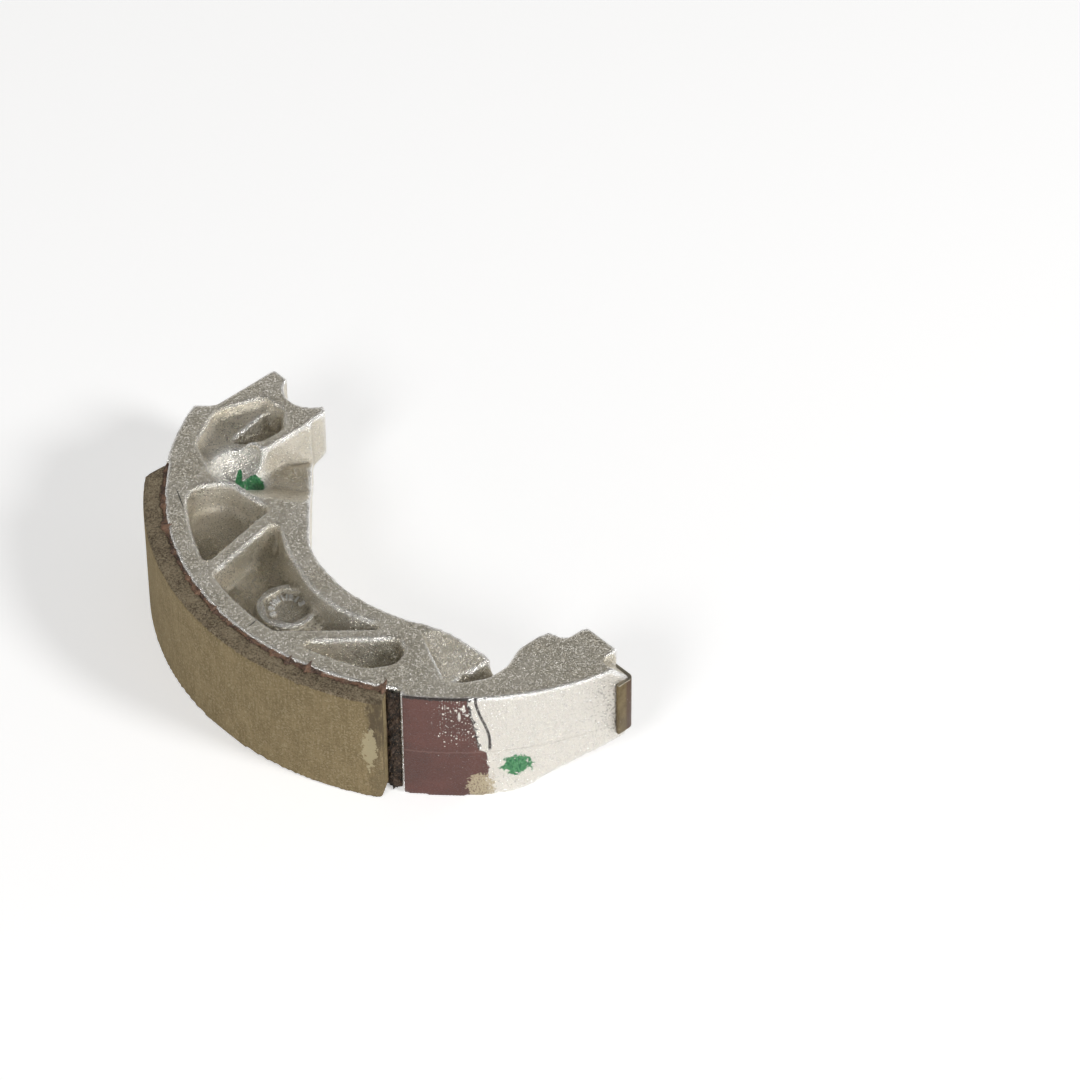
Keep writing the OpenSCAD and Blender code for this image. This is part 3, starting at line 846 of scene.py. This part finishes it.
glue, nodes, links, shader = node_tree("cured_adhesive")
bench = Bench(glue.node_tree)
place = bench.millimetres()
angle = bench.group(around_drum, {"Place": place}).outputs["Angle"]
tone = bench.cloud(place, 0.55, 5, 0.65)
fine_tone = bench.cloud(place, 2.8, 4, 0.6)
colour = bench.colours(bench.between(tone, 0.38, 0.62), (0.07, 0.042, 0.03, 1), (0.24, 0.135, 0.085, 1))
colour = bench.colours(bench.between(fine_tone, 0.55, 0.70), colour, (0.38, 0.26, 0.17, 1))
in_groove = bench.between(angle, 33.8, 34.2)
charred = bench.colours(bench.between(tone, 0.40, 0.66), (0.018, 0.013, 0.010, 1), (0.10, 0.062, 0.042, 1))
charred = bench.colours(bench.between(fine_tone, 0.54, 0.64), charred, (0.24, 0.17, 0.11, 1))
colour = bench.colours(in_groove, colour, charred)
links.new(colour, shader.inputs["Base Color"])
shader.inputs["Roughness"].default_value = 0.62
links.new(bench.bump(fine_tone, 0.0003), shader.inputs["Normal"])
adhesive.data.materials.append(glue)
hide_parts("bond_adhesive")
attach(adhesive, "root")


# Wear clip
# A strip of spring steel folded round the cam end and pushed on. Its plating has gone bronze brown, purple
# at the corner where the cam rubs, and is scuffed bright in spots; a paler band along its top bend is a
# painted highlight.

clip = merged_copy("cam_wear_clip", "wear_clip")
shape = bmesh.new()
shape.from_mesh(clip.data)
bmesh.ops.dissolve_limit(shape, angle_limit=0.03, verts=shape.verts, edges=shape.edges)
sharp = [edge for edge in shape.edges if edge.is_manifold and edge.calc_face_angle() > 0.9]
bmesh.ops.bevel(
    shape, geom=sharp, offset=0.00013, offset_type="OFFSET", affect="EDGES", segments=2, profile=0.5,
    material=-1,
)
for face in shape.faces:
    face.smooth = True
shape.to_mesh(clip.data)
shape.free()
clip.data.set_sharp_from_angle(angle=math.radians(35))

plating, nodes, links, shader = node_tree("tarnished_plating")
bench = Bench(plating.node_tree)
place = bench.millimetres()
x, y, z = bench.split(place)
tone = bench.cloud(place, 0.35, 5, 0.62)
fine_tone = bench.cloud(place, 2.4, 4, 0.6)
colour = bench.colours(bench.between(tone, 0.34, 0.66), (0.135, 0.10, 0.052, 1), (0.23, 0.178, 0.098, 1))
bend_line = bench.sum_of("MULTIPLY_ADD", tone, 1.2, x)
at_bend = bench.times(bench.between(y, -59.9, -60.5), bench.between(bend_line, -11.4, -10.6))
colour = bench.colours(bench.times(at_bend, 0.75), colour, (0.105, 0.062, 0.052, 1))
# A paler band along the top bend is a painted highlight
colour = bench.colours(bench.times(bench.between(z, 22.7, 22.85), 0.8), colour, (0.36, 0.33, 0.27, 1))
colour = bench.colours(bench.between(fine_tone, 0.62, 0.70), colour, (0.07, 0.05, 0.032, 1))
scuffs = bench.cells(bench.stretched(place, (1.6, 1.6, 0.9), (0.4, 0.2, 0)), 1.3)
scuffed = bench.between(scuffs.outputs["Distance"], 0.16, 0.08)
scuffed = bench.times(scuffed, bench.between(bench.split(scuffs.outputs["Color"])[0], 0.55, 0.6))
colour = bench.colours(bench.times(scuffed, 0.8), colour, (0.62, 0.56, 0.44, 1))
links.new(colour, shader.inputs["Base Color"])
shader.inputs["Metallic"].default_value = 0.9
links.new(bench.between(tone, 0.3, 0.7, 0.34, 0.5), shader.inputs["Roughness"])
drawn = bench.cloud(bench.stretched(place, (4.0, 4.0, 0.3)), 1.0, 3, 0.6)
links.new(bench.bump(bench.plus(drawn, bench.times(fine_tone, 0.5)), 0.00008), shader.inputs["Normal"])
clip.data.materials.clear()
clip.data.materials.append(plating)
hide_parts("cam_wear_clip")
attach(clip, "root")
